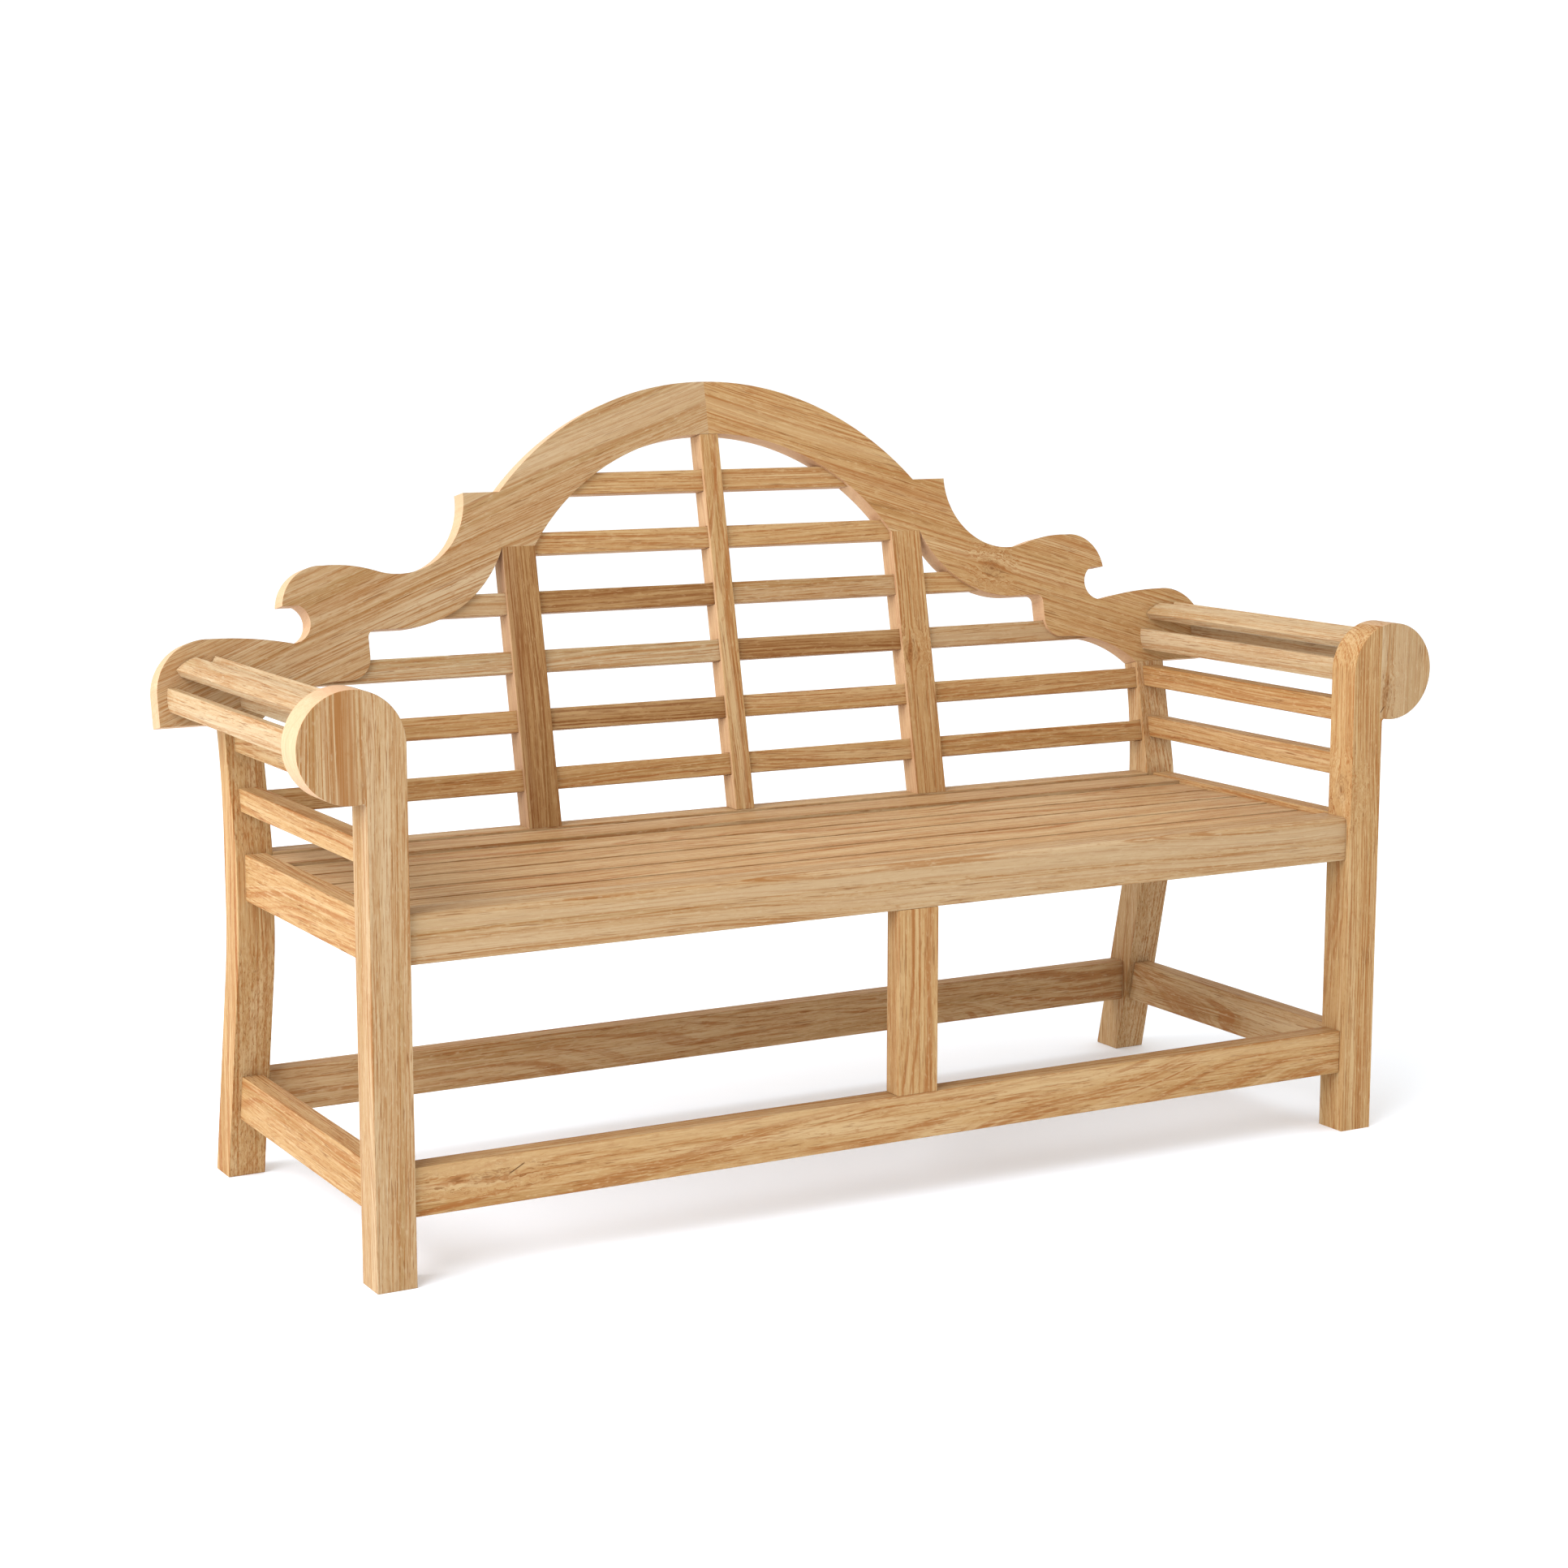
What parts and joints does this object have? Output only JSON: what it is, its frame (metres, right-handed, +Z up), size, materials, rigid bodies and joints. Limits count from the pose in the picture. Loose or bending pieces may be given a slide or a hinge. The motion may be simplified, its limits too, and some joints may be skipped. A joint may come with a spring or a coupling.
{
  "type": "garden bench",
  "caption": "Long wooden garden bench with an arched, scrolled crest, slatted back and seat, rolled slatted arms and low stretchers.",
  "frame": {"origin": "on the ground, at the middle of the bench's outline", "axes": "+X along the bench to a sitter's left (the right-hand side seen from in front), +Y from the seat's front towards the back, +Z up"},
  "size_m": [1.65, 0.625, 1.0375],
  "materials": {
    "leg_teak": "planed teak, unfinished, grain up the leg",
    "cheek_teak": "planed teak, unfinished, grain upright",
    "crest_teak": "planed teak, unfinished, sawn to curves",
    "back_teak": "planed teak, unfinished",
    "rail_teak": "planed teak, unfinished, grain along the rail",
    "seat_teak": "planed teak, unfinished, grain along the slat",
    "arm_teak": "planed teak, unfinished, rounded",
    "beech_dowel": "turned hardwood, fluted",
    "stainless_screw": "satin stainless"
  },
  "bodies": {
    "root": {"front_leg_left": "leg_teak", "front_leg_right": "leg_teak", "arm_cheek_left": "cheek_teak", "arm_cheek_right": "cheek_teak", "back_leg_left": "leg_teak", "back_leg_right": "leg_teak", "crest_left": "crest_teak", "crest_right": "crest_teak", "back_post_left": "back_teak", "back_post_middle": "back_teak", "back_post_right": "back_teak", "back_slat_1_inner_left": "back_teak", "back_slat_1_inner_right": "back_teak", "back_slat_2_inner_left": "back_teak", "back_slat_2_inner_right": "back_teak", "back_slat_3_inner_left": "back_teak", "back_slat_3_inner_right": "back_teak", "back_slat_4_inner_left": "back_teak", "back_slat_4_inner_right": "back_teak", "back_slat_5_inner_left": "back_teak", "back_slat_5_inner_right": "back_teak", "back_slat_6_inner_left": "back_teak", "back_slat_6_inner_right": "back_teak", "back_slat_1_outer_left": "back_teak", "back_slat_1_outer_right": "back_teak", "back_slat_2_outer_left": "back_teak", "back_slat_2_outer_right": "back_teak", "back_slat_3_outer_left": "back_teak", "back_slat_3_outer_right": "back_teak", "back_slat_4_outer_left": "back_teak", "back_slat_4_outer_right": "back_teak", "front_rail": "rail_teak", "rear_rail": "rail_teak", "side_rail_left": "rail_teak", "side_rail_right": "rail_teak", "seat_slat_1": "seat_teak", "seat_slat_2": "seat_teak", "seat_slat_3": "seat_teak", "seat_slat_4": "seat_teak", "seat_slat_5": "seat_teak", "seat_slat_6": "seat_teak", "seat_bearers": "rail_teak", "seat_ledgers": "rail_teak", "lower_front_rail": "rail_teak", "lower_back_rail": "rail_teak", "lower_side_rail_left": "rail_teak", "lower_side_rail_right": "rail_teak", "front_strut": "rail_teak", "arm_rail_lower_left": "arm_teak", "arm_rail_upper_left": "arm_teak", "arm_rail_lower_right": "arm_teak", "arm_rail_upper_right": "arm_teak", "arm_slats_left": "arm_teak", "arm_slats_right": "arm_teak", "cheek_dowels": "beech_dowel", "crest_dowels": "beech_dowel", "seat_screws": "stainless_screw", "ledger_screws": "stainless_screw"}
  },
  "joints": []
}
